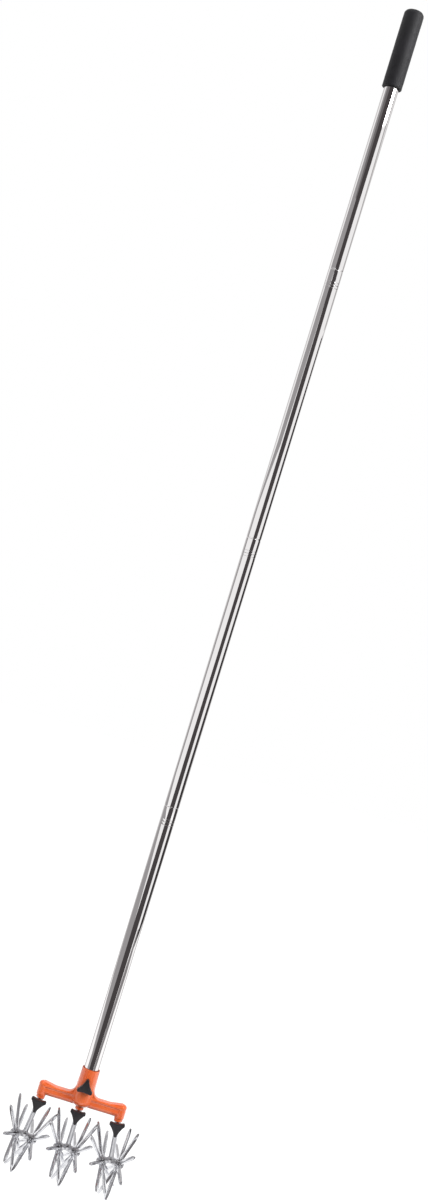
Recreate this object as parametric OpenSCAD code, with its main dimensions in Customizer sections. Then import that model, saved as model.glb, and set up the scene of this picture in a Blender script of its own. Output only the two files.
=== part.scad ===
// Rotary hand cultivator: a screwed pole with a foam grip, and a head that carries three tine units.
// Each tine unit has two star wheels that lean apart at the top and at the front.
// Millimetres. +Z runs up the pole, +X along the cross bar, and the knobs face -Y.
// The origin is the middle of the grip. Heights are counted up from the middle unit's axle,
// and in_frame() then lowers every piece by origin_h.

/* [Pole] */
// Outside diameter of the pole tube
tube_d = 19; // [17:0.5:24]
// Wall of the pole tube
tube_wall = 1; // [0.8:0.1:1.5]
// Distance from one screwed joint to the next
section_pitch = 356; // [250:1:450]
// Width of each collar at a screwed joint
collar_w = 3.7; // [2.5:0.1:6]
// Chamfer round the edges of a collar
collar_chamfer = 0.4; // [0.2:0.05:0.6]
// How far a screwed fitting reaches into its tube
fitting_len = 22; // [18:1:40]
// Diameter of the joint thread
thread_d = 12; // [8:0.5:13]
// Length of the joint thread
thread_len = 11.5; // [9:0.5:13]
// Chamfer at the end of a stud
thread_chamfer = 1; // [0.5:0.1:1.5]
// Height of the rolled crimp above its joint
crimp_rise = 19.7; // [12:0.1:24]
// Width of the rolled crimp
crimp_w = 1.8; // [1:0.1:3]
// Depth of the rolled crimp
crimp_depth = 0.35; // [0.2:0.05:0.5]
// Thickness of the end plug's flange
end_flange = 2; // [1:0.5:4]

/* [Grip] */
// Outside diameter of the grip
grip_d = 26; // [24:0.5:34]
// Length of the grip
grip_len = 102; // [80:1:140]
// Thickness of the closed end above the pole
grip_end = 8; // [4:0.5:12]
// Rounding of the closed end
grip_round = 6; // [2:0.5:9]

/* [Head] */
// Distance between neighbouring bosses
unit_pitch = 51.7; // [48:0.1:60]
// Outward lean of the two outer tine units
splay = 6.3; // [0:0.1:8]
// Height of the cross bar
bar_h = 14.5; // [12:0.1:18]
// Thickness of the bar's web
web_thick = 8; // [6:0.5:10]
// Thickness of the bar's top flange
flange_thick = 12; // [9:0.5:14]
// Height of the top flange
flange_h = 3; // [2:0.1:4]
// Chamfer of the top flange
flange_chamfer = 1; // [0.5:0.1:1.5]
// Diameter of the bar's rounded belly
belly_d = 11.2; // [9:0.1:11.4]
// Rise of the end humps above the bar
hump_rise = 2.9; // [1:0.1:4]
// Distance from an end post's axis to where its hump meets the bar
hump_run = 16; // [10:0.5:20]
// Rounding of the end humps
hump_round = 4.5; // [2:0.1:5.5]
// How far an end post stands out past its boss all round, and below the bar
post_step = 0.6; // [0.1:0.1:1.2]
// How far a boss stands below the bar
boss_drop = 4.6; // [1:0.1:6]
// Wall of a boss round its ferrule
boss_wall = 0.9; // [0.8:0.1:2]
// Height of the socket above the bar
socket_len = 35; // [32:0.5:45]
// Depth of the pole's seat in the socket
seat_depth = 28.6; // [26:0.1:31]
// Wall of the socket at its rim
socket_wall = 1.85; // [1.5:0.05:3]
// Growth of the socket's radius from rim to root
socket_flare = 0.95; // [0:0.05:2]
// Rounding under the socket's root
root_round = 7; // [3:0.5:8]
// Radius of the fillets between socket and bar
fillet_r = 9; // [3:0.5:10]
// Wall of the threaded bush in the head
bush_wall = 1.45; // [1:0.05:2.5]

/* [Clamp screws] */
// Diameter of the screws
screw_d = 5; // [4:0.5:6]
// Distance from a knob's axis to the middle of a lobe
knob_reach = 9; // [7:0.1:9.6]
// Radius of a knob's lobes
knob_lobe_r = 2.1; // [1.2:0.1:2.5]
// Hollow of a knob's sides
knob_hollow = 0.7; // [0.3:0.1:1.2]
// How far a knob's sides stand in from its lobes
knob_step = 0.3; // [0.2:0.05:0.5]
// Distance from the end of a knob's hollow to the middle of a lobe
knob_flat = 0.4; // [0.2:0.1:0.5]
// Thickness of a knob
knob_thick = 7; // [6:0.5:10]
// How deep a stud is held in its knob
stud_hold = 5; // [3:0.5:5.5]
// Distance from the socket's rim down to its lock screw
lock_drop = 21; // [18:0.5:23]
// Distance from a boss's foot down to its clamp screw
clamp_drop = 4.4; // [4.2:0.1:6.2]
// How far a ferrule's threaded side boss stands out past the head's boss, so that its knob clears the head
clamp_stand = 5.2; // [5:0.1:7]
// Wall of metal round a screw
screw_wall = 1.3; // [1:0.1:2]

/* [Tine units] */
// Distance from a boss's foot down to its axle
stem_drop = 50.2; // [49:0.1:60]
// Diameter of a stem
stem_d = 6.4; // [5.5:0.1:8]
// Wall of a ferrule
ferrule_wall = 1.4; // [1:0.1:2]
// Depth of a ferrule in its boss
ferrule_grip = 8; // [5:0.5:8.5]
// Length of a ferrule below its boss
ferrule_drop = 10.2; // [9.8:0.1:13]
// Diameter of the ball where a stem's arms meet
knuckle_d = 10; // [9:0.1:12]
// Diameter of a stem's two axle arms
arm_d = 8; // [7:0.1:9]
// Diameter of an axle pin
pin_d = 5; // [4:0.1:5.5]
// Distance from the knuckle's middle to the inner end of a pin
pin_start = 2.6; // [2.2:0.1:4]
// Diameter of a pin's head
pin_head_d = 8.5; // [7.5:0.1:10]
// Height of a pin's head
pin_head_h = 2.2; // [1.5:0.1:3]
// Rounding of a pin's head
pin_head_round = 1.4; // [0.5:0.1:1.4]
// Diameter of a thrust washer
washer_d = 10; // [9:0.1:11]
// Thickness of a thrust washer
washer_thick = 1; // [0.6:0.1:1.5]

/* [Star wheels] */
// Lean of a star wheel, top outwards
camber = 21; // [17:0.1:23]
// Turn of a star wheel, front outwards
toe = 13.5; // [8:0.1:16]
// Distance along the axle from the knuckle's middle to the star
star_offset = 11.6; // [11:0.1:13]
// Distance from a star's axis to its tips
star_r = 48; // [40:0.5:49]
// Number of tines on a star
tine_count = 8; // [6:1:9]
// Width of a tine
tine_w = 4.5; // [3:0.1:5]
// Width of a tine at its point
tip_w = 1.4; // [0.4:0.1:2]
// Thickness of a star
star_thick = 4; // [2:0.1:4.1]
// Thickness of a tine at its point
tip_thick = 1.8; // [0.5:0.1:2]
// Length over which a tine thins towards its point
thin_len = 10; // [6:0.5:25]
// Length of a tine's pointed end
point_len = 5; // [3:0.5:12]
// Diameter of a star's middle disc
star_hub_d = 15; // [14:0.5:18]
// Diameter of a hub bush
hub_d = 9; // [8:0.1:10]
// Length of a hub bush
hub_len = 7; // [6:0.5:9]
// Diameter of a hub bush's flange
hub_flange_d = 13; // [12:0.5:14]
// Thickness of a hub bush's flange
hub_flange = 1.4; // [0.8:0.1:1.4]

/* [Fits] */
// Radial gap of pieces that are pressed or screwed tight
press_gap = 0.03; // [0.02:0.01:0.05]
// Radial gap of pieces that turn or slide
run_gap = 0.06; // [0.03:0.01:0.1]
// Radial gap of the pole in its socket and of the stems in their ferrules
slip_gap = 0.1; // [0.05:0.01:0.2]
// Gap between end faces that turn past each other
face_gap = 0.1; // [0.05:0.01:0.3]
// Gap behind a knob
knob_gap = 0.3; // [0.2:0.05:0.6]
// Spare depth of a threaded hole past its screw
thread_spare = 1.3; // [1:0.1:1.5]

/* [Hidden] */
$fn = 96;
SECTIONS = 4;
SIDES = ["left", "middle", "right"];
UNITS = [0 : len(SIDES) - 1];
HANDS = [-1, 1];
STARS = 6;
// How far a cut runs past the face that it opens
over = 1;

chrome = "#c9ccd0";
orange = "#f4602a";
black = "#2a2b2e";
zinc = "#b4b8bd";
brass = "#c8a44e";

tube_r = tube_d / 2;
tube_inner_r = tube_r - tube_wall;
bar_low_h = stem_drop + boss_drop;
bar_top_h = bar_low_h + bar_h;
rim_h = bar_top_h + socket_len;
seat_h = rim_h - seat_depth;
pole_top_h = seat_h + SECTIONS * section_pitch;
grip_top_h = pole_top_h + grip_end;
origin_h = grip_top_h - grip_len / 2;
lock_h = rim_h - lock_drop;
clamp_h = stem_drop - clamp_drop;

socket_rim_r = tube_r + slip_gap + socket_wall;
socket_root_r = socket_rim_r + socket_flare;
bush_r = thread_d / 2 + run_gap + bush_wall;
bush_len = thread_len + thread_spare;
ferrule_r = stem_d / 2 + slip_gap + ferrule_wall;
boss_r = ferrule_r + press_gap + boss_wall;
screw_boss_r = screw_d / 2 + run_gap + screw_wall;
pad_face = socket_root_r + knob_gap;
clamp_face = boss_r + clamp_stand;

star_phase = 360 / tine_count / 4;
hub_start = star_offset - hub_len / 2;
hub_stop = star_offset + hub_len / 2;
arm_len = hub_start - washer_thick - 2 * face_gap;
pin_stop = hub_stop + washer_thick + 2 * face_gap;

NODES = concat(
    ["head_casting", "socket_bush", "lock_bush", "lock_stud", "lock_knob"],
    ["pole_end_plug", "grip_sleeve"],
    [for (k = [1 : SECTIONS]) str("pole_section_", k)],
    [for (k = [1 : SECTIONS]) str("pole_plug_", k)],
    [for (k = [1 : SECTIONS - 1]) str("pole_insert_", k)],
    [for (s = SIDES) str("ferrule_", s)],
    [for (s = SIDES) str("clamp_stud_", s)],
    [for (s = SIDES) str("clamp_knob_", s)],
    [for (s = SIDES) str("tine_stem_", s)],
    [for (s = SIDES) str("axle_pins_", s)],
    [for (s = SIDES) str("thrust_washers_", s)],
    [for (k = [1 : STARS]) str("star_wheel_", k)],
    [for (k = [1 : STARS]) str("hub_bush_", k)]
);
node = "all";

// Height of a screwed joint: joint 0 is the pole's seat in the head
function joint_h(k) = seat_h + k * section_pitch;
// Side of a tine unit, from its place in SIDES: -1, 0 or 1
function side_of(i) = i - 1;
// Radius of an arc that stands h high on a chord of half width c
function arc_r(c, h) = (c * c + h * h) / (2 * h);

module in_frame() {
    translate([0, 0, -origin_h]) children();
}

// Places a piece at the axle of a tine unit, with the unit's lean about its boss's foot
module at_unit(side) {
    translate([side * unit_pitch, 0, stem_drop])
        rotate([0, -side * splay, 0])
            translate([0, 0, -stem_drop]) children();
}

// Turns +Z to point outwards along one axle of a tine unit
module along_axle(hand) {
    rotate([0, 90 + camber, hand > 0 ? toe : 180 - toe]) children();
}

// Turns +Z to point to the front
module to_front() {
    rotate([90, 0, 0]) children();
}

module ring(outer_r, inner_r, h) {
    difference() {
        cylinder(r = outer_r, h = h);
        translate([0, 0, -over]) cylinder(r = inner_r, h = h + 2 * over);
    }
}

// Quarter disc in the corner between +X and +Y
module quarter_disc(q) {
    intersection() {
        circle(q);
        square(q);
    }
}

// Half outline of a solid of revolution with its upper edge rounded
module rounded_half(r, h, q) {
    square([r - q, h]);
    square([r, h - q]);
    translate([r - q, h - q]) quarter_disc(q);
}

// Pole

module pole_section(k) {
    low = joint_h(k - 1) + collar_w;
    top = k < SECTIONS ? joint_h(k) - collar_w - face_gap : pole_top_h - end_flange;
    groove_r = arc_r(crimp_w / 2, crimp_depth);
    color(chrome) in_frame()
        rotate_extrude()
            difference() {
                translate([tube_inner_r, low]) square([tube_wall, top - low]);
                translate([tube_r - crimp_depth + groove_r, joint_h(k - 1) + crimp_rise]) circle(groove_r);
            }
}

// Screwed plug in the lower end of a section: stud, collar and body
module pole_plug(k) {
    stud_r = thread_d / 2;
    body_r = tube_inner_r - press_gap;
    body_top = collar_w + fitting_len;
    c = collar_chamfer;
    t = thread_chamfer;
    color(chrome) in_frame() translate([0, 0, joint_h(k - 1)])
        rotate_extrude()
            polygon([
                [0, -thread_len], [stud_r - t, -thread_len], [stud_r, -thread_len + t], [stud_r, 0],
                [tube_r - c, 0], [tube_r, c], [tube_r, collar_w - c], [tube_r - c, collar_w],
                [body_r, collar_w], [body_r, body_top], [0, body_top]
            ]);
}

// Threaded insert in the upper end of a section: collar and body with the bore
module pole_insert(k) {
    bore_r = thread_d / 2 + run_gap;
    body_r = tube_inner_r - run_gap;
    bore_low = -thread_len - thread_spare;
    body_low = -collar_w - fitting_len;
    c = collar_chamfer;
    color(chrome) in_frame() translate([0, 0, joint_h(k)])
        rotate_extrude()
            polygon([
                [0, body_low], [body_r, body_low], [body_r, -collar_w], [tube_r - c, -collar_w],
                [tube_r, -collar_w + c], [tube_r, -face_gap - c], [tube_r - c, -face_gap],
                [bore_r, -face_gap], [bore_r, bore_low], [0, bore_low]
            ]);
}

module pole_end_plug() {
    color(black) in_frame() {
        translate([0, 0, pole_top_h - end_flange]) cylinder(r = tube_r, h = end_flange);
        translate([0, 0, pole_top_h - fitting_len])
            cylinder(r = tube_inner_r - press_gap, h = fitting_len - end_flange);
    }
}

module grip_sleeve() {
    color(black) in_frame() translate([0, 0, grip_top_h - grip_len])
        rotate_extrude()
            difference() {
                rounded_half(grip_d / 2, grip_len, grip_round);
                square([tube_r + slip_gap, grip_len - grip_end + slip_gap]);
            }
}

// Head

module bar_section() {
    c = flange_chamfer;
    web = web_thick / 2;
    flange = flange_thick / 2;
    translate([-web, bar_low_h + belly_d / 2]) square([2 * web, bar_h - belly_d / 2 - c]);
    translate([0, bar_low_h + belly_d / 2]) circle(d = belly_d);
    translate([0, bar_top_h])
        polygon([
            [-web, -flange_h - c], [-flange, -flange_h], [-flange, -c], [-flange + c, 0],
            [flange - c, 0], [flange, -c], [flange, -flange_h], [web, -flange_h - c]
        ]);
}

module socket_outline() {
    root_h = bar_low_h + root_round;
    polygon([
        [0, root_h], [socket_root_r, root_h], [socket_root_r, bar_top_h + fillet_r],
        [socket_rim_r, rim_h], [0, rim_h]
    ]);
    translate([socket_root_r - root_round, root_h]) mirror([0, 1]) quarter_disc(root_round);
    translate([0, bar_low_h]) square([socket_root_r - root_round, root_round]);
}

// Fillet web between the socket's side and the bar's top
module bar_fillet() {
    rotate([90, 0, 0])
        linear_extrude(height = flange_thick - flange_h, center = true)
            difference() {
                translate([socket_rim_r - root_round, bar_top_h - flange_h])
                    square([root_round + socket_flare + fillet_r, flange_h + fillet_r]);
                translate([socket_root_r + fillet_r, bar_top_h + fillet_r]) circle(fillet_r);
            }
}

// End post with a groove round it that carries on the groove under the bar's flange
module end_post(side) {
    post_r = boss_r + post_step;
    post_h = bar_h + post_step;
    translate([side * unit_pitch, 0, bar_top_h - post_h])
        rotate_extrude()
            difference() {
                rounded_half(post_r, post_h + hump_rise, hump_round);
                translate([post_r, post_h - flange_h - flange_chamfer]) circle(flange_chamfer);
            }
}

// Slope from the top of an end post down to the bar
module hump_slope() {
    rotate([90, 0, 0])
        linear_extrude(height = flange_thick - 2 * flange_chamfer, center = true)
            polygon([
                [unit_pitch, bar_top_h + hump_rise], [unit_pitch - hump_run, bar_top_h],
                [unit_pitch - hump_run, bar_top_h - flange_h], [unit_pitch, bar_top_h - flange_h]
            ]);
}

module boss(side) {
    at_unit(side) translate([0, 0, stem_drop]) cylinder(r = boss_r, h = boss_drop + belly_d / 2);
}

module head_casting() {
    color(orange) in_frame()
        difference() {
            union() {
                translate([-unit_pitch, 0, 0])
                    rotate([90, 0, 90]) linear_extrude(height = 2 * unit_pitch) bar_section();
                rotate_extrude() socket_outline();
                bar_fillet();
                mirror([1, 0, 0]) bar_fillet();
                hump_slope();
                mirror([1, 0, 0]) hump_slope();
                for (side = HANDS) end_post(side);
                for (i = UNITS) boss(side_of(i));
                translate([0, 0, lock_h]) to_front()
                    cylinder(r = screw_boss_r + boss_wall, h = pad_face - knob_gap / 2);
            }
            translate([0, 0, seat_h - face_gap])
                cylinder(r = tube_r + slip_gap, h = seat_depth + face_gap + over);
            translate([0, 0, seat_h - bush_len - face_gap])
                cylinder(r = bush_r + run_gap, h = bush_len + over);
            translate([0, 0, lock_h]) to_front()
                cylinder(r = screw_boss_r + press_gap, h = pad_face + over);
            for (i = UNITS)
                at_unit(side_of(i)) translate([0, 0, stem_drop - over])
                    cylinder(r = ferrule_r + press_gap, h = ferrule_grip + over + press_gap);
        }
}

// Threaded bush that takes the pole's lowest stud
module socket_bush() {
    color(brass) in_frame() translate([0, 0, seat_h - bush_len - face_gap / 2])
        ring(bush_r, thread_d / 2 + run_gap, bush_len - face_gap / 2);
}

// Clamp screws

// Three lobes joined by hollow sides, with one lobe pointing along +Y
module knob_outline() {
    half_side = knob_lobe_r - knob_step;
    side_r = knob_reach / 2 + half_side;
    hollow_r = arc_r(knob_reach * sin(60) - knob_flat, knob_hollow);
    difference() {
        polygon([
            for (a = [90, 210, 330], turn = [-60, 60])
                knob_reach * [cos(a), sin(a)] + half_side * [cos(a + turn), sin(a + turn)]
        ]);
        for (a = [30, 150, 270]) rotate(a) translate([side_r - knob_hollow + hollow_r, 0]) circle(hollow_r);
    }
    for (a = [90, 210, 330]) rotate(a) translate([knob_reach, 0]) circle(knob_lobe_r);
}

// A knob with its back face at back_y in front of the axis, drawn along the front
module knob(back_y) {
    to_front() translate([0, 0, back_y])
        difference() {
            linear_extrude(height = knob_thick) knob_outline();
            translate([0, 0, -over]) cylinder(r = screw_d / 2 + run_gap, h = stud_hold + face_gap + over);
        }
}

// A stud from its clamped face at tip_y into its knob
module stud(tip_y, back_y) {
    to_front() translate([0, 0, tip_y]) cylinder(d = screw_d, h = back_y + stud_hold - tip_y);
}

module lock_bush() {
    start = tube_r + slip_gap + face_gap;
    color(brass) in_frame() translate([0, 0, lock_h]) to_front() translate([0, 0, start])
        ring(screw_boss_r, screw_d / 2 + run_gap, pad_face - start);
}

module lock_stud() {
    color(zinc) in_frame() translate([0, 0, lock_h]) stud(tube_r + face_gap, pad_face + knob_gap);
}

module lock_knob() {
    color(black) in_frame() translate([0, 0, lock_h]) knob(pad_face + knob_gap);
}

module clamp_stud(side) {
    color(zinc) in_frame() at_unit(side) translate([0, 0, clamp_h])
        stud(stem_d / 2 + face_gap, clamp_face + knob_gap);
}

module clamp_knob(side) {
    color(black) in_frame() at_unit(side) translate([0, 0, clamp_h])
        mirror([0, 0, 1]) knob(clamp_face + knob_gap);
}

// Tine units

// Tube round the stem with a threaded boss for the clamp screw
module ferrule(side) {
    color(zinc) in_frame() at_unit(side)
        difference() {
            union() {
                translate([0, 0, stem_drop - ferrule_drop])
                    cylinder(r = ferrule_r, h = ferrule_drop + ferrule_grip);
                translate([0, 0, clamp_h]) to_front() cylinder(r = screw_boss_r, h = clamp_face);
            }
            translate([0, 0, stem_drop - ferrule_drop - over])
                cylinder(r = stem_d / 2 + slip_gap, h = ferrule_drop + ferrule_grip + 2 * over);
            translate([0, 0, clamp_h]) to_front()
                cylinder(r = screw_d / 2 + run_gap, h = clamp_face + over);
        }
}

module tine_stem(side) {
    color(zinc) in_frame() at_unit(side)
        difference() {
            union() {
                cylinder(d = stem_d, h = stem_drop + ferrule_grip - face_gap);
                sphere(d = knuckle_d);
                for (hand = HANDS) along_axle(hand) cylinder(d = arm_d, h = arm_len);
            }
            for (hand = HANDS)
                along_axle(hand) translate([0, 0, pin_start - press_gap])
                    cylinder(r = pin_d / 2 + press_gap, h = arm_len);
        }
}

module axle_pins(side) {
    color(zinc) in_frame() at_unit(side)
        for (hand = HANDS)
            along_axle(hand) {
                translate([0, 0, pin_start]) cylinder(d = pin_d, h = pin_stop - pin_start);
                translate([0, 0, pin_stop])
                    rotate_extrude() rounded_half(pin_head_d / 2, pin_head_h, pin_head_round);
            }
}

module thrust_washers(side) {
    color(zinc) in_frame() at_unit(side)
        for (hand = HANDS, at = [arm_len + face_gap, hub_stop + face_gap])
            along_axle(hand) translate([0, 0, at]) ring(washer_d / 2, pin_d / 2 + press_gap, washer_thick);
}

// Star wheels, counted from the left: odd ones on the left arm of their unit

function star_side(k) = side_of(floor((k - 1) / 2));
function star_hand(k) = HANDS[(k - 1) % 2];

module star_outline() {
    difference() {
        union() {
            circle(d = star_hub_d);
            for (t = [0 : tine_count - 1])
                rotate(360 * t / tine_count)
                    polygon([
                        [hub_d / 2, -tine_w / 2], [star_r - point_len, -tine_w / 2], [star_r, -tip_w / 2],
                        [star_r, tip_w / 2], [star_r - point_len, tine_w / 2], [hub_d / 2, tine_w / 2]
                    ]);
        }
        circle(r = hub_d / 2 + press_gap);
    }
}

module star_wheel(k) {
    thin_start = star_r - thin_len;
    far = star_r + over;
    color(zinc) in_frame() at_unit(star_side(k)) along_axle(star_hand(k)) translate([0, 0, star_offset])
        rotate(star_phase)
            intersection() {
                linear_extrude(height = star_thick, center = true) star_outline();
                rotate_extrude()
                    polygon([
                        [0, -star_thick], [thin_start, -star_thick / 2], [far, -tip_thick / 2],
                        [far, tip_thick / 2], [thin_start, star_thick / 2], [0, star_thick]
                    ]);
            }
}

module hub_bush(k) {
    color(zinc) in_frame() at_unit(star_side(k)) along_axle(star_hand(k))
        difference() {
            union() {
                translate([0, 0, hub_start]) cylinder(d = hub_d, h = hub_len);
                translate([0, 0, star_offset - star_thick / 2 - hub_flange])
                    cylinder(d = hub_flange_d, h = hub_flange);
            }
            translate([0, 0, hub_start - over])
                cylinder(r = pin_d / 2 + run_gap, h = hub_len + 2 * over);
        }
}

function shown(name) = node == "all" || node == name;

if (shown("head_casting")) head_casting();
if (shown("socket_bush")) socket_bush();
if (shown("lock_bush")) lock_bush();
if (shown("lock_stud")) lock_stud();
if (shown("lock_knob")) lock_knob();
if (shown("pole_end_plug")) pole_end_plug();
if (shown("grip_sleeve")) grip_sleeve();
for (k = [1 : SECTIONS]) if (shown(str("pole_section_", k))) pole_section(k);
for (k = [1 : SECTIONS]) if (shown(str("pole_plug_", k))) pole_plug(k);
for (k = [1 : SECTIONS - 1]) if (shown(str("pole_insert_", k))) pole_insert(k);
for (i = UNITS) if (shown(str("ferrule_", SIDES[i]))) ferrule(side_of(i));
for (i = UNITS) if (shown(str("clamp_stud_", SIDES[i]))) clamp_stud(side_of(i));
for (i = UNITS) if (shown(str("clamp_knob_", SIDES[i]))) clamp_knob(side_of(i));
for (i = UNITS) if (shown(str("tine_stem_", SIDES[i]))) tine_stem(side_of(i));
for (i = UNITS) if (shown(str("axle_pins_", SIDES[i]))) axle_pins(side_of(i));
for (i = UNITS) if (shown(str("thrust_washers_", SIDES[i]))) thrust_washers(side_of(i));
for (k = [1 : STARS]) if (shown(str("star_wheel_", k))) star_wheel(k);
for (k = [1 : STARS]) if (shown(str("hub_bush_", k))) hub_bush(k);
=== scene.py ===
import math

import bpy
from mathutils import Matrix, Vector


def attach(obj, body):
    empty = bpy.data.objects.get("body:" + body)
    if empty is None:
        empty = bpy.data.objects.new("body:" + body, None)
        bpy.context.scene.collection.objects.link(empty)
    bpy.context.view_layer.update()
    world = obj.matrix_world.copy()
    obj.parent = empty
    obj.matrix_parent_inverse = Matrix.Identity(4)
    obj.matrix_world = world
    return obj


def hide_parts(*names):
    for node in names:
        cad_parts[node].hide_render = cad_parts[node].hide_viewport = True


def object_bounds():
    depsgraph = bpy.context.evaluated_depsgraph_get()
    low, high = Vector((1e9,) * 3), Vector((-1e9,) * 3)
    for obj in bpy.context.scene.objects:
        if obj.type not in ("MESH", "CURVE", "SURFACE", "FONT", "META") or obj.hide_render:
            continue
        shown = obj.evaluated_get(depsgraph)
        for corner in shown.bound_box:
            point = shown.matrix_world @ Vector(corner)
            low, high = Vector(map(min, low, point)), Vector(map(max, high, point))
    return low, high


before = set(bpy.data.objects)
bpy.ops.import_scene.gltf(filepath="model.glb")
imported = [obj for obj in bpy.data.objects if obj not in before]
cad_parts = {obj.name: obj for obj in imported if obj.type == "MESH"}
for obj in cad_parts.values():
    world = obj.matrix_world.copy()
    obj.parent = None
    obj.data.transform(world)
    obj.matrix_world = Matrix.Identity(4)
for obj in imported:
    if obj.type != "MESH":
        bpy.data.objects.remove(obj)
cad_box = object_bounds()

# Sizes of the solids in millimetres. Heights are counted up from the middle axle.
MM = 0.001
ORIGIN_H = 1456.7
SEAT_H = 75.7
SECTION_PITCH = 356.0
SECTIONS = 4
TUBE_R = 9.5
TUBE_BORE_R = 8.5
COLLAR_W = 3.7
THREAD_R = 6.0
THREAD_PITCH = 1.5
FACE_GAP = 0.1
END_GAP = 2.0
CRIMP_RISE = 19.7
PLUG_BODY = 21.0
GRIP_LOW_H = 1405.7
GRIP_TOP_H = 1507.7
GRIP_R = 13.0
UNIT_PITCH = 51.7
SPLAY = math.radians(6.3)
STEM_DROP = 50.2
STUD_R = 2.5
STUD_PITCH = 0.8
LOCK_H, LOCK_STUD_OUT, LOCK_STUD_LEN = 83.3, 9.6, 8.4
CLAMP_H, CLAMP_STUD_OUT, CLAMP_STUD_LEN = 45.8, 3.3, 12.83
RIM_H = 104.3
CAMBER = math.radians(21)
TOE = math.radians(13.5)
STAR_OFFSET = 11.6
STAR_R = 48.0
STAR_THICK = 4.0
TINES = 8
TINE_W = 4.5
SIDES = {"left": -1, "middle": 0, "right": 1}
TURN = 2 * math.pi
# Height of the floor in metres: the wheels stay above it when all the pole's joints are unscrewed.
FLOOR_UP = cad_box[0][2] - 0.043
# Place of the camera in metres, and its roll in degrees.
CAMERA_X, CAMERA_UP, CAMERA_DISTANCE, CAMERA_ROLL = -0.0254, -0.7383, 2.032, 17.03


def hex_colour(code):
    """An sRGB hex colour as the linear RGBA that a shader takes."""
    parts = [int(code[i : i + 2], 16) / 255 for i in (1, 3, 5)]
    linear = [c / 12.92 if c <= 0.04045 else ((c + 0.055) / 1.055) ** 2.4 for c in parts]
    return (*linear, 1.0)


def add_node(tree, kind, inputs, stops=(), **settings):
    """Adds a node with its settings. An input is a number, a colour, or a socket to link.
    The stops are those of a colour ramp, as a place and a hex colour each."""
    node = tree.nodes.new(kind)
    for name, value in settings.items():
        setattr(node, name, value)
    for name, value in inputs.items():
        if isinstance(value, bpy.types.NodeSocket):
            tree.links.new(value, node.inputs[name])
        else:
            node.inputs[name].default_value = value
    for i, (place, code) in enumerate(stops):
        points = node.color_ramp.elements
        point = points[i] if i < len(points) else points.new(place)
        point.position = place
        point.color = hex_colour(code)
    return node


def new_material(name):
    material = bpy.data.materials.new(name)
    material.use_nodes = True
    material.node_tree.nodes.clear()
    return material, material.node_tree


def finish_material(tree, shader):
    add_node(tree, "ShaderNodeOutputMaterial", {"Surface": shader.outputs[0]})


def chrome_on_steel():
    """Bright chrome on a drawn steel tube: a mirror, with a faint lengthwise waviness left by drawing."""
    material, tree = new_material("chrome_plated_steel")
    place = add_node(tree, "ShaderNodeTexCoord", {}).outputs["Object"]
    # Draw lines about 1.5 mm apart round the tube and 120 mm long.
    stretched = add_node(
        tree, "ShaderNodeMapping", {"Vector": place, "Scale": (670.0, 670.0, 8.0)}
    ).outputs["Vector"]
    lines = add_node(tree, "ShaderNodeTexNoise", {"Vector": stretched, "Scale": 1.0, "Detail": 2.0})
    smudge = add_node(tree, "ShaderNodeTexNoise", {"Vector": place, "Scale": 28.0, "Detail": 3.0})
    rough = add_node(
        tree,
        "ShaderNodeMapRange",
        {"Value": smudge.outputs["Fac"], "From Min": 0.35, "From Max": 0.75, "To Min": 0.02, "To Max": 0.06},
    )
    bump = add_node(
        tree, "ShaderNodeBump", {"Height": lines.outputs["Fac"], "Strength": 0.05, "Distance": 0.0002}
    )
    shader = add_node(
        tree,
        "ShaderNodeBsdfPrincipled",
        {
            "Base Color": hex_colour("#eceaea"),
            "Metallic": 1.0,
            "Roughness": rough.outputs["Result"],
            "Normal": bump.outputs["Normal"],
        },
    )
    finish_material(tree, shader)
    return material


def moulded_nylon():
    """Glossy orange nylon from a polished mould: flow marks in colour and gloss, and a faint orange peel."""
    material, tree = new_material("orange_moulded_nylon")
    place = add_node(tree, "ShaderNodeTexCoord", {}).outputs["Object"]
    # Flow marks about 25 mm long, and an orange peel of about 1.2 mm.
    flow = add_node(tree, "ShaderNodeTexNoise", {"Vector": place, "Scale": 40.0, "Detail": 3.0})
    peel = add_node(tree, "ShaderNodeTexNoise", {"Vector": place, "Scale": 830.0, "Detail": 2.0})
    colour = add_node(
        tree, "ShaderNodeValToRGB", {"Fac": flow.outputs["Fac"]}, [(0.3, "#fa6a30"), (0.7, "#ff7a40")]
    )
    rough = add_node(
        tree,
        "ShaderNodeMapRange",
        {"Value": flow.outputs["Fac"], "From Min": 0.3, "From Max": 0.7, "To Min": 0.2, "To Max": 0.3},
    )
    bump = add_node(
        tree, "ShaderNodeBump", {"Height": peel.outputs["Fac"], "Strength": 0.06, "Distance": 0.0003}
    )
    shader = add_node(
        tree,
        "ShaderNodeBsdfPrincipled",
        {
            "Base Color": colour.outputs["Color"],
            "Roughness": rough.outputs["Result"],
            "IOR": 1.53,
            "Subsurface Weight": 0.08,
            "Subsurface Radius": (0.002, 0.0008, 0.0004),
            "Coat Weight": 1.0,
            "Coat Roughness": 0.08,
            "Normal": bump.outputs["Normal"],
        },
    )
    finish_material(tree, shader)
    return material


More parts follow.
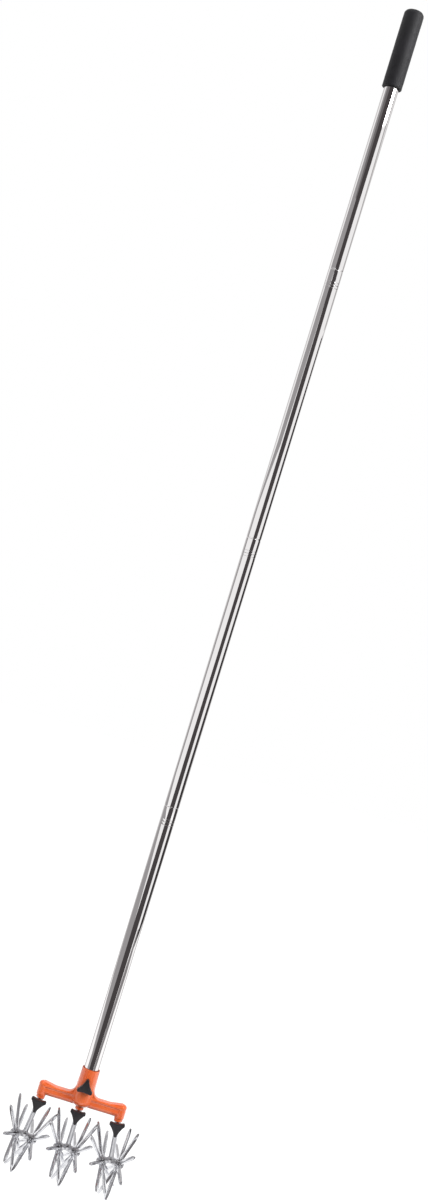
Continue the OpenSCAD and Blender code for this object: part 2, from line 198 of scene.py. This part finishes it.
def grained_plastic():
    """Black polypropylene from a spark-eroded mould: a fine even grain, rubbed a little greyer in patches."""
    material, tree = new_material("black_moulded_polypropylene")
    place = add_node(tree, "ShaderNodeTexCoord", {}).outputs["Object"]
    # Grain of about 0.4 mm, coarser than the real 0.1 mm so that it shows.
    grain = add_node(tree, "ShaderNodeTexVoronoi", {"Vector": place, "Scale": 2500.0})
    rub = add_node(tree, "ShaderNodeTexNoise", {"Vector": place, "Scale": 160.0, "Detail": 4.0})
    colour = add_node(
        tree, "ShaderNodeValToRGB", {"Fac": rub.outputs["Fac"]}, [(0.35, "#232124"), (0.75, "#333134")]
    )
    rough = add_node(
        tree,
        "ShaderNodeMapRange",
        {"Value": rub.outputs["Fac"], "From Min": 0.3, "From Max": 0.8, "To Min": 0.38, "To Max": 0.52},
    )
    bump = add_node(
        tree, "ShaderNodeBump", {"Height": grain.outputs["Distance"], "Strength": 0.2, "Distance": 0.0001}
    )
    shader = add_node(
        tree,
        "ShaderNodeBsdfPrincipled",
        {
            "Base Color": colour.outputs["Color"],
            "Roughness": rough.outputs["Result"],
            "IOR": 1.49,
            "Normal": bump.outputs["Normal"],
        },
    )
    finish_material(tree, shader)
    return material


def foam_rubber():
    """Closed-cell foam rubber, dipped and cut: fine open pores in a matte, slightly velvety skin."""
    material, tree = new_material("black_foam_rubber")
    place = add_node(tree, "ShaderNodeTexCoord", {}).outputs["Object"]
    # Pores of about 0.9 mm, coarser than the real 0.4 mm so that they show.
    pores = add_node(tree, "ShaderNodeTexVoronoi", {"Vector": place, "Scale": 1100.0})
    fine = add_node(tree, "ShaderNodeTexNoise", {"Vector": place, "Scale": 2200.0, "Detail": 3.0})
    patches = add_node(tree, "ShaderNodeTexNoise", {"Vector": place, "Scale": 45.0, "Detail": 4.0})
    # Painted shade: the colour darkens towards the middle of each pore, where the bump sinks in. It is
    # multiplied by patches of random tone.
    pore_shade_and_patches = add_node(
        tree,
        "ShaderNodeMath",
        {0: pores.outputs["Distance"], 1: patches.outputs["Fac"]},
        operation="MULTIPLY",
    )
    colour = add_node(
        tree, "ShaderNodeValToRGB", {"Fac": pore_shade_and_patches.outputs[0]}, [(0.05, "#0d0d0f"), (0.4, "#1d1c21")]
    )
    coarse = add_node(
        tree, "ShaderNodeBump", {"Height": pores.outputs["Distance"], "Strength": 0.55, "Distance": 0.0004}
    )
    bump = add_node(
        tree,
        "ShaderNodeBump",
        {
            "Height": fine.outputs["Fac"],
            "Strength": 0.3,
            "Distance": 0.0002,
            "Normal": coarse.outputs["Normal"],
        },
    )
    shader = add_node(
        tree,
        "ShaderNodeBsdfPrincipled",
        {
            "Base Color": colour.outputs["Color"],
            "Roughness": 0.58,
            "IOR": 1.43,
            "Sheen Weight": 0.03,
            "Sheen Roughness": 0.5,
            "Normal": bump.outputs["Normal"],
        },
    )
    finish_material(tree, shader)
    return material


def zinc_on_steel(name, smoothest, roughest):
    """Zinc on steel: a satin metal with fine tumbling marks and cloudy patches, brighter on a pressed
    piece than on a forged one."""
    material, tree = new_material(name)
    place = add_node(tree, "ShaderNodeTexCoord", {}).outputs["Object"]
    # Cloudy patches of about 6 mm and tumbling marks of about 0.5 mm.
    cloud = add_node(tree, "ShaderNodeTexNoise", {"Vector": place, "Scale": 170.0, "Detail": 4.0})
    marks = add_node(tree, "ShaderNodeTexNoise", {"Vector": place, "Scale": 2000.0, "Detail": 2.0})
    colour = add_node(
        tree, "ShaderNodeValToRGB", {"Fac": cloud.outputs["Fac"]}, [(0.3, "#cdced2"), (0.7, "#e6e6e9")]
    )
    rough = add_node(
        tree,
        "ShaderNodeMapRange",
        {
            "Value": cloud.outputs["Fac"],
            "From Min": 0.3,
            "From Max": 0.75,
            "To Min": smoothest,
            "To Max": roughest,
        },
    )
    bump = add_node(
        tree, "ShaderNodeBump", {"Height": marks.outputs["Fac"], "Strength": 0.12, "Distance": 0.0002}
    )
    shader = add_node(
        tree,
        "ShaderNodeBsdfPrincipled",
        {
            "Base Color": colour.outputs["Color"],
            "Metallic": 1.0,
            "Roughness": rough.outputs["Result"],
            "Normal": bump.outputs["Normal"],
        },
    )
    finish_material(tree, shader)
    return material


def turned_brass():
    """Brass turned on a lathe: satin, with fine tool rings and a darker tarnish in patches."""
    material, tree = new_material("turned_brass")
    place = add_node(tree, "ShaderNodeTexCoord", {}).outputs["Object"]
    # Tool rings of about 0.6 mm along the pole, and tarnish patches of about 5 mm.
    rings = add_node(tree, "ShaderNodeTexWave", {"Vector": place, "Scale": 500.0}, bands_direction="Z")
    tarnish = add_node(tree, "ShaderNodeTexNoise", {"Vector": place, "Scale": 200.0, "Detail": 4.0})
    colour = add_node(
        tree, "ShaderNodeValToRGB", {"Fac": tarnish.outputs["Fac"]}, [(0.3, "#a98a43"), (0.7, "#d5b566")]
    )
    bump = add_node(
        tree, "ShaderNodeBump", {"Height": rings.outputs["Fac"], "Strength": 0.1, "Distance": 0.0001}
    )
    shader = add_node(
        tree,
        "ShaderNodeBsdfPrincipled",
        {
            "Base Color": colour.outputs["Color"],
            "Metallic": 1.0,
            "Roughness": 0.28,
            "Normal": bump.outputs["Normal"],
        },
    )
    finish_material(tree, shader)
    return material


MATERIALS = {
    "plated_steel": chrome_on_steel(),
    "orange_nylon": moulded_nylon(),
    "black_plastic": grained_plastic(),
    "foam_rubber": foam_rubber(),
    "zinc_steel": zinc_on_steel("zinc_plated_pressed_steel", 0.12, 0.22),
    "brass": turned_brass(),
}
FORGED_ZINC = zinc_on_steel("zinc_plated_forged_steel", 0.26, 0.38)


# Places of the pieces


def lifted(h):
    """Place at a height on the pole's axis."""
    return Matrix.Translation((0, 0, (h - ORIGIN_H) * MM))


def unit_place(side):
    """Place of a tine unit: its axle is the local origin, and it leans about its boss's foot."""
    foot = Matrix.Translation((side * UNIT_PITCH * MM, 0, STEM_DROP * MM))
    lean = Matrix.Rotation(-side * SPLAY, 4, "Y")
    return lifted(0) @ foot @ lean @ Matrix.Translation((0, 0, -STEM_DROP * MM))


def axle_place(side, hand):
    """Place whose +Z points outwards along one axle of a tine unit."""
    toe = TOE if hand > 0 else math.pi - TOE
    return unit_place(side) @ Matrix.Rotation(toe, 4, "Z") @ Matrix.Rotation(math.pi / 2 + CAMBER, 4, "Y")


def front_place(place, h, out):
    """Place at a height on a local axis and out in front of it, whose +Z points to the front."""
    facing = place @ Matrix.Translation((0, 0, h * MM)) @ Matrix.Rotation(math.pi / 2, 4, "X")
    return facing @ Matrix.Translation((0, 0, out * MM))


# Ways of making the pieces


def deselect():
    if bpy.context.object and bpy.context.object.mode != "OBJECT":
        bpy.ops.object.mode_set(mode="OBJECT")
    bpy.ops.object.select_all(action="DESELECT")


def activate(piece):
    deselect()
    piece.select_set(True)
    bpy.context.view_layer.objects.active = piece


def put(piece, place):
    """Moves a finished piece to its place, and leaves its object at the origin."""
    activate(piece)
    piece.matrix_world = place
    bpy.ops.object.transform_apply(location=True, rotation=True, scale=True)


def apply_modifier(piece, kind, **settings):
    activate(piece)
    modifier = piece.modifiers.new(kind.lower(), kind)
    for name, value in settings.items():
        setattr(modifier, name, value)
    bpy.ops.object.modifier_apply(modifier=modifier.name)


def combine(piece, other, operation):
    """Joins another piece to a piece, or cuts it out, and removes the other one."""
    apply_modifier(piece, "BOOLEAN", object=other, operation=operation, solver="EXACT")
    bpy.data.objects.remove(other)


def smooth(piece, degrees):
    activate(piece)
    bpy.ops.object.shade_smooth_by_angle(angle=math.radians(degrees))


def softened(piece, voxel, rounds):
    """Rebuilds a piece in voxels, sized in millimetres, and smooths it, which softens all its edges."""
    apply_modifier(piece, "REMESH", mode="VOXEL", voxel_size=voxel * MM)
    apply_modifier(piece, "SMOOTH", factor=0.5, iterations=rounds)
    activate(piece)
    bpy.ops.object.shade_smooth()


def block(name, length, width, height):
    """A block about the origin, with its sides in millimetres."""
    deselect()
    bpy.ops.mesh.primitive_cube_add(size=MM, location=(0, 0, 0))
    piece = bpy.context.object
    piece.name = name
    bpy.ops.object.mode_set(mode="EDIT")
    bpy.ops.transform.resize(value=(length, width, height), center_override=(0, 0, 0))
    bpy.ops.object.mode_set(mode="OBJECT")
    return piece


def turned(name, outline, sides=96):
    """A piece turned about Z from a half outline of (radius, height) points, in millimetres."""
    deselect()
    bpy.ops.mesh.primitive_plane_add(size=MM, location=(0, 0, 0))
    piece = bpy.context.object
    piece.name = name
    bpy.ops.object.mode_set(mode="EDIT")
    bpy.ops.mesh.select_mode(type="VERT")
    bpy.ops.mesh.merge(type="CENTER")
    bpy.ops.transform.translate(value=(outline[0][0] * MM, 0, outline[0][1] * MM))
    for (r0, h0), (r1, h1) in zip(outline, outline[1:]):
        step = ((r1 - r0) * MM, 0, (h1 - h0) * MM)
        bpy.ops.mesh.extrude_vertices_move(TRANSFORM_OT_translate={"value": step})
    bpy.ops.mesh.select_all(action="SELECT")
    bpy.ops.mesh.spin(steps=sides, angle=TURN, center=(0, 0, 0), axis=(0, 0, 1))
    bpy.ops.mesh.select_all(action="SELECT")
    bpy.ops.mesh.remove_doubles(threshold=1e-6)
    bpy.ops.mesh.normals_make_consistent(inside=False)
    bpy.ops.object.mode_set(mode="OBJECT")
    return piece


def merge_doubles(piece):
    activate(piece)
    bpy.ops.object.mode_set(mode="EDIT")
    bpy.ops.mesh.select_all(action="SELECT")
    bpy.ops.mesh.remove_doubles(threshold=2e-6)
    bpy.ops.object.mode_set(mode="OBJECT")


def copy_of(piece):
    activate(piece)
    bpy.ops.object.duplicate()
    return bpy.context.object


def taken_from(node, name):
    """A merged copy of a CAD node's mesh, to be shaped further."""
    piece = copy_of(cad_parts[node])
    piece.parent = None
    piece.matrix_world = Matrix.Identity(4)
    for key in list(piece.keys()):
        del piece[key]
    piece.name = name
    piece.data.name = name
    merge_doubles(piece)
    return piece


def planar(piece):
    """Joins the triangles of flat faces."""
    activate(piece)
    bpy.ops.object.mode_set(mode="EDIT")
    bpy.ops.mesh.select_all(action="SELECT")
    bpy.ops.mesh.dissolve_limited(angle_limit=math.radians(0.5))
    bpy.ops.object.mode_set(mode="OBJECT")


def rounded_edges(piece, width, segments, degrees):
    """Rounds the edges that are sharper than an angle, over a width in millimetres."""
    apply_modifier(
        piece,
        "BEVEL",
        width=width * MM,
        segments=segments,
        limit_method="ANGLE",
        angle_limit=math.radians(degrees),
        use_clamp_overlap=True,
    )


def dress(piece, body, slot, *nodes, finish=None):
    """Gives a piece its finish and its body, and hides the CAD nodes that it stands for."""
    piece.data.materials.clear()
    piece.data.materials.append(finish or MATERIALS[slot])
    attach(piece, body)
    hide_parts(*nodes)


def thread(radius, low, high, pitch, depth):
    """Outline of a thread from a low height to a high one, as stacked ridges."""
    count = int(round((high - low) / pitch))
    step = (high - low) / count
    crest_start, crest_stop = 0.45, 0.55
    points = []
    for i in range(count):
        points.append((radius - depth, low + i * step))
        points.append((radius, low + (i + crest_start) * step))
        points.append((radius, low + (i + crest_stop) * step))
    points.append((radius - depth, high))
    return points


def arc(centre_r, centre_h, radius, start, stop, steps):
    """Outline points on an arc, from one angle to another, in degrees from +r towards +h."""
    angles = [math.radians(start + (stop - start) * i / steps) for i in range(steps + 1)]
    return [(centre_r + radius * math.cos(a), centre_h + radius * math.sin(a)) for a in angles]


# Pole


def pole_tube(k):
    """Tube with rolled-in ends and one rolled crimp."""
    top_gap = COLLAR_W + FACE_GAP if k < SECTIONS else END_GAP
    length = SECTION_PITCH - COLLAR_W - top_gap
    edge = 0.35
    crimp_h, crimp_r, crimp_depth = CRIMP_RISE - COLLAR_W, 1.33, 0.35
    half_width, run_out = 0.9, 1.3
    spread = math.degrees(math.asin(half_width / crimp_r))
    crimp = arc(TUBE_R - crimp_depth + crimp_r, crimp_h, crimp_r, 180 + spread, 180 - spread, 10)
    outline = (
        [(TUBE_BORE_R, 0)]
        + arc(TUBE_R - edge, edge, edge, -90, 0, 4)
        + [(TUBE_R, crimp_h - run_out)]
        + crimp
        + [(TUBE_R, crimp_h + run_out)]
        + arc(TUBE_R - edge, length - edge, edge, 0, 90, 4)
        + [(TUBE_BORE_R, length), (TUBE_BORE_R, 0)]
    )
    tube = turned(f"pole_tube_{k}", outline, 128)
    put(tube, lifted(SEAT_H + (k - 1) * SECTION_PITCH + COLLAR_W))
    smooth(tube, 30)
    dress(tube, "pole_top" if k == SECTIONS else f"pole_{k}", "plated_steel", f"pole_section_{k}")


def collar(low, high, edge=0.45):
    """Outline of a collar's rounded rim, from its lower face to its upper one."""
    return arc(TUBE_R - edge, low + edge, edge, -90, 0, 4) + arc(TUBE_R - edge, high - edge, edge, 0, 90, 4)


def screw_plug(k):
    """Plug in a tube's lower end: threaded stud with a relief, collar and body."""
    tip_h, thread_low, thread_high, relief_h = -11.5, -10.9, -1.9, -1.2
    tip_r, relief_r, body_r = THREAD_R - 1.4, THREAD_R - 0.9, TUBE_BORE_R - 0.05
    top = COLLAR_W + PLUG_BODY
    outline = (
        [(0, tip_h), (tip_r, tip_h)]
        + thread(THREAD_R, thread_low, thread_high, THREAD_PITCH, depth=0.75)
        + [(relief_r, relief_h), (relief_r, 0)]
        + collar(0, COLLAR_W)
        + [(body_r, COLLAR_W), (body_r, top), (0, top)]
    )
    plug = turned(f"screw_plug_{k}", outline)
    put(plug, lifted(SEAT_H + (k - 1) * SECTION_PITCH))
    smooth(plug, 30)
    dress(plug, "pole_top" if k == SECTIONS else f"pole_{k}", "plated_steel", f"pole_plug_{k}")


def threaded_insert(k):
    """Insert in a tube's upper end: collar and body with a countersunk bore."""
    bore, body_r, countersink = THREAD_R + 0.06, TUBE_BORE_R - 0.08, 0.8
    foot, bore_end = -COLLAR_W - PLUG_BODY, -12.8
    outline = (
        [(0, foot), (body_r, foot), (body_r, -COLLAR_W)]
        + collar(-COLLAR_W, -FACE_GAP)
        + [(bore + countersink, -FACE_GAP), (bore, -FACE_GAP - countersink)]
        + [(bore, bore_end), (0, bore_end)]
    )
    insert = turned(f"threaded_insert_{k}", outline)
    put(insert, lifted(SEAT_H + k * SECTION_PITCH))
    smooth(insert, 30)
    dress(insert, f"joint_insert_{k}", "plated_steel", f"pole_insert_{k}")


def foam_grip():
    """Foam sleeve with a cut lower edge and a domed closed end, a little uneven as foam is."""
    length = GRIP_TOP_H - GRIP_LOW_H
    bore, bore_end, chamfer_w, chamfer_h = TUBE_R + 0.1, length - 7.9, 0.5, 0.6
    edge, dome, rings = 0.5, 6, 80
    wall = [(GRIP_R, edge + i * (length - dome - edge) / rings) for i in range(1, rings)]
    outline = (
        [(0, bore_end), (bore, bore_end), (bore, chamfer_h), (bore + chamfer_w, 0)]
        + arc(GRIP_R - edge, edge, edge, -90, 0, 4)
        + wall
        + arc(GRIP_R - dome, length - dome, dome, 0, 90, 14)
        + [(r, length) for r in (5, 3, 0)]
    )
    grip = turned("foam_grip", outline, 128)
    put(grip, lifted(GRIP_LOW_H))
    uneven = bpy.data.textures.new("foam_unevenness", "CLOUDS")
    uneven.noise_scale = 9 * MM
    apply_modifier(grip, "DISPLACE", texture=uneven, strength=0.25 * MM, mid_level=1.0)
    smooth(grip, 50)
    dress(grip, "pole_top", "foam_rubber", "grip_sleeve")


for number in range(1, SECTIONS + 1):
    pole_tube(number)
    screw_plug(number)
for number in range(1, SECTIONS):
    threaded_insert(number)
foam_grip()


# Head


def web_filler(side):
    """Bar that fills most of the groove under the flange, from the socket's root to the end post."""
    root, half_depth, low, high = 11.5, 5.15, 62.6, 66.6
    bar = block("web_filler", UNIT_PITCH - root, 2 * half_depth, high - low)
    middle = side * (UNIT_PITCH + root) / 2
    put(bar, lifted((low + high) / 2) @ Matrix.Translation((middle * MM, 0, 0)))
    return bar


def post_filler(side):
    """Disc that fills most of the groove round an end post."""
    low, high, r = 63.6, 66.9, 6.0
    disc = turned("post_filler", [(0, low), (r, low), (r, high), (0, high), (0, low)])
    put(disc, lifted(0) @ Matrix.Translation((side * UNIT_PITCH * MM, 0, 0)))
    return disc


def head_moulding():
    """Cross bar, socket and bosses in one moulding, with every edge softened as a mould gives it."""
    head = taken_from("head_casting", "head_moulding")
    depth, bore, mouth_r = 6, TUBE_R + 0.55, TUBE_R + 1.05
    outline = [(0, 0), (bore, 0), (mouth_r, depth), (mouth_r, 2 * depth), (0, 2 * depth), (0, 0)]
    mouth = turned("socket_mouth", outline)
    put(mouth, lifted(RIM_H - depth))
    combine(head, mouth, "DIFFERENCE")
    for side in (-1, 1):
        combine(head, web_filler(side), "UNION")
        combine(head, post_filler(side), "UNION")
    softened(head, voxel=0.42, rounds=7)
    dress(head, "head", "orange_nylon", "head_casting")


head_moulding()


# Clamp screws


def knob(node, name, body):
    """Three-lobed knob with rounded edges."""
    piece = taken_from(node, name)
    planar(piece)
    rounded_edges(piece, width=0.9, segments=4, degrees=50)
    smooth(piece, 40)
    dress(piece, body, "black_plastic", node)


def stud(name, body, node, place, length):
    """Threaded stud whose tip faces the clamped piece."""
    end_r, plain = STUD_R - 0.7, 0.4
    outline = (
        [(0, 0), (end_r, 0)]
        + thread(STUD_R, plain, length - plain, STUD_PITCH, depth=0.4)
        + [(end_r, length), (0, length)]
    )
    piece = turned(name, outline, 48)
    put(piece, place)
    smooth(piece, 30)
    dress(piece, body, "zinc_steel", node)


knob("lock_knob", "lock_screw_handle", "lock_screw_knob")
stud(
    "lock_screw_thread",
    "lock_screw_stud",
    "lock_stud",
    front_place(lifted(LOCK_H), 0, LOCK_STUD_OUT),
    LOCK_STUD_LEN,
)
for side_name, side in SIDES.items():
    knob(f"clamp_knob_{side_name}", f"clamp_handle_{side_name}", f"clamp_screw_knob_{side_name}")
    stud(
        f"clamp_thread_{side_name}",
        f"clamp_screw_stud_{side_name}",
        f"clamp_stud_{side_name}",
        front_place(unit_place(side), CLAMP_H, CLAMP_STUD_OUT),
        CLAMP_STUD_LEN,
    )


# Tine units


def stem(side_name):
    """Forged stem whose arms run into the knuckle with soft fillets."""
    piece = taken_from(f"tine_stem_{side_name}", f"forged_stem_{side_name}")
    softened(piece, voxel=0.3, rounds=8)
    dress(piece, "head", "zinc_steel", f"tine_stem_{side_name}", finish=FORGED_ZINC)


def hardware(node, name, width):
    """Turned or pressed small piece with its edges broken."""
    piece = taken_from(node, name)
    planar(piece)
    rounded_edges(piece, width, segments=2, degrees=40)
    smooth(piece, 40)
    dress(piece, "head", "zinc_steel", node)


for side_name in SIDES:
    stem(side_name)
    hardware(f"ferrule_{side_name}", f"stem_ferrule_{side_name}", width=0.3)
    hardware(f"axle_pins_{side_name}", f"axle_rivets_{side_name}", width=0.2)
    hardware(f"thrust_washers_{side_name}", f"axle_washers_{side_name}", width=0.15)


# Star wheels


def select_faces(piece, wanted):
    """In edit mode, selects the faces whose centre, in millimetres, is wanted."""
    bpy.ops.mesh.select_all(action="DESELECT")
    bpy.ops.object.mode_set(mode="OBJECT")
    for face in piece.data.polygons:
        face.select = wanted(face.center / MM)
    bpy.ops.object.mode_set(mode="EDIT")


def tine():
    """One tine along +X: a bar that thins and narrows to a blunt point, with rounded edges."""
    root, thin, point, near = 6.2, STAR_R - 10.0, STAR_R - 5.0, 0.01
    # Each step out to the tip: its length, and the shares of the width and the thickness that it leaves.
    steps = ((point - thin, 1.0, 0.8), (4.2, 0.45, 0.8), (0.8, 0.6, 0.7))
    piece = block("tine", thin - root, TINE_W, STAR_THICK)
    bpy.ops.object.mode_set(mode="EDIT")
    bpy.ops.transform.translate(value=((thin + root) / 2 * MM, 0, 0))
    bpy.ops.mesh.select_mode(type="FACE")
    select_faces(piece, lambda c: c.x > thin - near)
    for reach, width, height in steps:
        bpy.ops.mesh.extrude_region_move(TRANSFORM_OT_translate={"value": (reach * MM, 0, 0)})
        bpy.ops.transform.resize(value=(1, width, height))
    bpy.ops.object.mode_set(mode="OBJECT")
    rounded_edges(piece, width=0.7, segments=3, degrees=30)
    return piece


def star():
    """Star wheel about Z: a rounded hub disc with tines all round it."""
    bore, rim, half, edge = 4.55, 7.5, STAR_THICK / 2 - 0.45, 0.4
    # Turn of the first tine at rest, in tine pitches.
    start = 0.25
    first = tine()
    disc = turned(
        "star",
        [(bore, -half)]
        + arc(rim - edge, -half + edge, edge, -90, 0, 4)
        + arc(rim - edge, half - edge, edge, 0, 90, 4)
        + [(bore, half), (bore, -half)],
    )
    for t in range(TINES):
        other = copy_of(first)
        put(other, Matrix.Rotation(TURN * (t + start) / TINES, 4, "Z"))
        combine(disc, other, "UNION")
    bpy.data.objects.remove(first)
    merge_doubles(disc)
    smooth(disc, 40)
    return disc


def hub():
    """Hub bush about Z with a flange behind the star."""
    bore, wall, flange_r, low, high, edge = 2.56, 4.5, 6.5, -3.5, 3.5, 0.3
    flange_low, flange_high = -STAR_THICK / 2 - 1.4, -STAR_THICK / 2
    outline = [
        (bore + edge, low),
        (wall - 0.1, low),
        (wall, flange_low),
        (flange_r - edge, flange_low),
        (flange_r, flange_low + edge),
        (flange_r, flange_high),
        (wall, flange_high),
        (wall, high - edge),
        (wall - edge, high),
        (bore + edge, high),
        (bore, high - edge),
        (bore, low + edge),
        (bore + edge, low),
    ]
    piece = turned("hub", outline, 64)
    smooth(piece, 40)
    return piece


masters = ((star(), "tined_star", "star_wheel"), (hub(), "star_hub", "hub_bush"))
axles = [(side, hand) for side in SIDES.values() for hand in (-1, 1)]
for number, (side, hand) in enumerate(axles, 1):
    place = axle_place(side, hand) @ Matrix.Translation((0, 0, STAR_OFFSET * MM))
    for master, name, node in masters:
        piece = copy_of(master)
        piece.name = f"{name}_{number}"
        piece.data.name = piece.name
        put(piece, place)
        dress(piece, f"star_{number}", "zinc_steel", f"{node}_{number}")
for master, _, _ in masters:
    bpy.data.objects.remove(master)

# The solids that stay inside the part get the same finishes.
for node, slot in (("pole_end_plug", "black_plastic"), ("socket_bush", "brass"), ("lock_bush", "brass")):
    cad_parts[node].data.materials.clear()
    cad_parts[node].data.materials.append(MATERIALS[slot])


# Stage


def is_seen(tree):
    """1 for rays that show the background: from the camera, or by a mirror or through glass."""
    path = add_node(tree, "ShaderNodeLightPath", {})
    mirror = add_node(
        tree,
        "ShaderNodeMath",
        {0: path.outputs["Is Glossy Ray"], 1: path.outputs["Is Transmission Ray"]},
        operation="MAXIMUM",
    )
    seen = add_node(
        tree, "ShaderNodeMath", {0: path.outputs["Is Camera Ray"], 1: mirror.outputs[0]}, operation="MAXIMUM"
    )
    return seen.outputs[0]


def white_world():
    world = bpy.data.worlds.new("white_studio")
    bpy.context.scene.world = world
    world.use_nodes = True
    tree = world.node_tree
    tree.nodes.clear()
    soft = add_node(tree, "ShaderNodeBackground", {"Color": hex_colour("#ffffff"), "Strength": 0.55})
    white = add_node(tree, "ShaderNodeBackground", {"Color": hex_colour("#ffffff"), "Strength": 1.0})
    mix = add_node(
        tree, "ShaderNodeMixShader", {"Fac": is_seen(tree), 1: soft.outputs[0], 2: white.outputs[0]}
    )
    add_node(tree, "ShaderNodeOutputWorld", {"Surface": mix.outputs[0]})


def pale_floor():
    deselect()
    bpy.ops.mesh.primitive_plane_add(size=12, location=(0, 0, FLOOR_UP))
    floor = bpy.context.object
    floor.name = "studio_floor"
    material, tree = new_material("pale_floor")
    matte = add_node(tree, "ShaderNodeBsdfDiffuse", {"Color": hex_colour("#8f8f8f")})
    glow = add_node(tree, "ShaderNodeEmission", {"Color": hex_colour("#ffffff"), "Strength": 0.86})
    both = add_node(tree, "ShaderNodeAddShader", {0: matte.outputs[0], 1: glow.outputs[0]})
    mix = add_node(
        tree, "ShaderNodeMixShader", {"Fac": is_seen(tree), 1: matte.outputs[0], 2: both.outputs[0]}
    )
    finish_material(tree, mix)
    floor.data.materials.append(material)


def mirror_sheet(name, grey, rows, strength):
    """A sheet seen only by mirrors. Each row is a distance from the pole's axis and a height, in metres,
    and the two angles about the pole between which the sheet lies there, in degrees from the front
    towards the right."""
    deselect()
    last = len(rows) - 1
    bpy.ops.mesh.primitive_grid_add(x_subdivisions=16, y_subdivisions=last, size=2, location=(0, 0, 0))
    sheet = bpy.context.object
    sheet.name = name
    for vertex in sheet.data.vertices:
        distance, up, start, stop = rows[round((vertex.co.y + 1) / 2 * last)]
        angle = math.radians(start + (stop - start) * (vertex.co.x + 1) / 2)
        vertex.co = (distance * math.sin(angle), -distance * math.cos(angle), up)
    material, tree = new_material(name)
    glow = add_node(tree, "ShaderNodeEmission", {"Color": hex_colour(grey), "Strength": strength})
    finish_material(tree, glow)
    sheet.data.materials.append(material)
    sheet.visible_camera = False
    sheet.visible_diffuse = False
    sheet.visible_transmission = False
    sheet.visible_shadow = False


def studio_flag(name, distance, grey, rows, strength=1.0):
    """A studio flag or card: it gives bright metal its dark bands, or foam and nylon their gloss.
    Each row is the height on the pole, in millimetres, that mirrors the flag there, and its two angles."""
    spread = 1 + distance / CAMERA_DISTANCE
    ups = [CAMERA_UP + ((h - ORIGIN_H) * MM - CAMERA_UP) * spread for h, _, _ in rows]
    mirror_sheet(name, grey, [(distance, up, *angles) for up, (_, *angles) in zip(ups, rows)], strength)


def look_at(place, aim, roll):
    """Place of a lamp or camera whose view runs from place to aim."""
    towards = Vector(aim) - Vector(place)
    turn = towards.to_track_quat("-Z", "Y").to_matrix().to_4x4()
    return Matrix.Translation(place) @ turn @ Matrix.Rotation(roll, 4, "Z")


def soft_lamp(name, place, aim, size, power):
    """A round soft lamp, hidden from mirrors so that it leaves no burnt-out spots on bright metal."""
    deselect()
    bpy.ops.object.light_add(type="AREA", location=place)
    lamp = bpy.context.object
    lamp.name = name
    lamp.data.shape = "DISK"
    lamp.data.size = size
    lamp.data.energy = power
    lamp.visible_glossy = False
    lamp.matrix_world = look_at(place, aim, 0)


white_world()
pale_floor()
studio_flag(
    "front_flag",
    0.30,
    "#4a4647",
    [
        (60, -31, 33), (130, -31, 33), (180, -33, 40), (320, -30, 45), (400, -25, 42), (500, -22, 39),
        (600, -18, 37), (700, -12, 39), (850, -10, 43), (950, -13, 50), (1050, -17, 46), (1110, -16, 41),
        (1180, -21, 34), (1250, -24, 33), (1320, -24, 36), (1500, -30, 40),
    ],
)
studio_flag(
    "left_flag",
    0.32,
    "#a3a1a2",
    [
        (60, -70, -26), (130, -64, -27), (180, -83, -30), (250, -116, -29), (320, -125, -26),
        (400, -125, -45), (500, -123, -92), (850, -121, -90), (950, -90, -29), (1050, -95, -22),
        (1180, -95, -20), (1500, -90, -30),
    ],
)
studio_flag("high_left_flag", 0.31, "#757273", [(1270, -40, -24), (1330, -52, -22), (1500, -76, -26)])
studio_flag(
    "right_flag",
    0.32,
    "#3a3738",
    [
        (290, 80, 86), (320, 74, 119), (400, 78, 137), (500, 74, 128), (700, 86, 137), (950, 94, 144),
        (1100, 104, 130),
    ],
)
studio_flag(
    "low_right_flag",
    0.32,
    "#8f8c8d",
    [(60, 35, 60), (130, 35, 67), (180, 42, 80), (250, 47, 97), (320, 60, 74)],
)
studio_flag(
    "high_right_flag",
    0.32,
    "#b4b2b2",
    [(1110, 108, 140), (1250, 105, 128), (1390, 80, 105), (1500, 76, 100)],
)
studio_flag("back_flag", 0.36, "#d4d2d2", [(60, 122, 238), (1500, 122, 238)])
studio_flag("grip_card", 0.34, "#ffffff", [(1385, 38, 86), (1540, 38, 86)], strength=9.0)
studio_flag("left_head_card", 0.31, "#ffffff", [(46, -165, -108), (104, -165, -108)], strength=1.3)
studio_flag("right_head_card", 0.31, "#ffffff", [(46, 108, 165), (104, 108, 165)], strength=1.3)
# Flags that lie just above the floor outline the lower tube when it is seen from above.
flag_up = FLOOR_UP + 0.0005
for name, hand in (("left_floor_flag", -1), ("right_floor_flag", 1)):
    flat = [(distance, flag_up, hand * 32, hand * 120) for distance in (0.1, 0.3)]
    mirror_sheet(name, "#767374", flat, strength=1.0)
soft_lamp("key_lamp", (1.6, -1.2, 0.4), aim=(0, 0, -0.9), size=1.4, power=44)
soft_lamp("fill_lamp", (-1.4, -1.6, 0.0), aim=(0, 0, -0.9), size=1.6, power=16)
soft_lamp("back_lamp", (-0.4, 1.7, 0.6), aim=(0, 0, -0.8), size=1.4, power=16)

# Camera of the photograph: level with the pole's middle, and rolled so that the pole leans to the right.
camera = bpy.data.objects.new("camera", bpy.data.cameras.new("camera"))
bpy.context.scene.collection.objects.link(camera)
camera.data.sensor_fit = "VERTICAL"
camera.data.sensor_height = 36.0
camera.data.lens = 48.0
camera.matrix_world = look_at(
    (CAMERA_X, -CAMERA_DISTANCE, CAMERA_UP), (CAMERA_X, 0, CAMERA_UP), math.radians(CAMERA_ROLL)
)
bpy.context.scene.camera = camera

bpy.context.scene.view_settings.view_transform = "Standard"
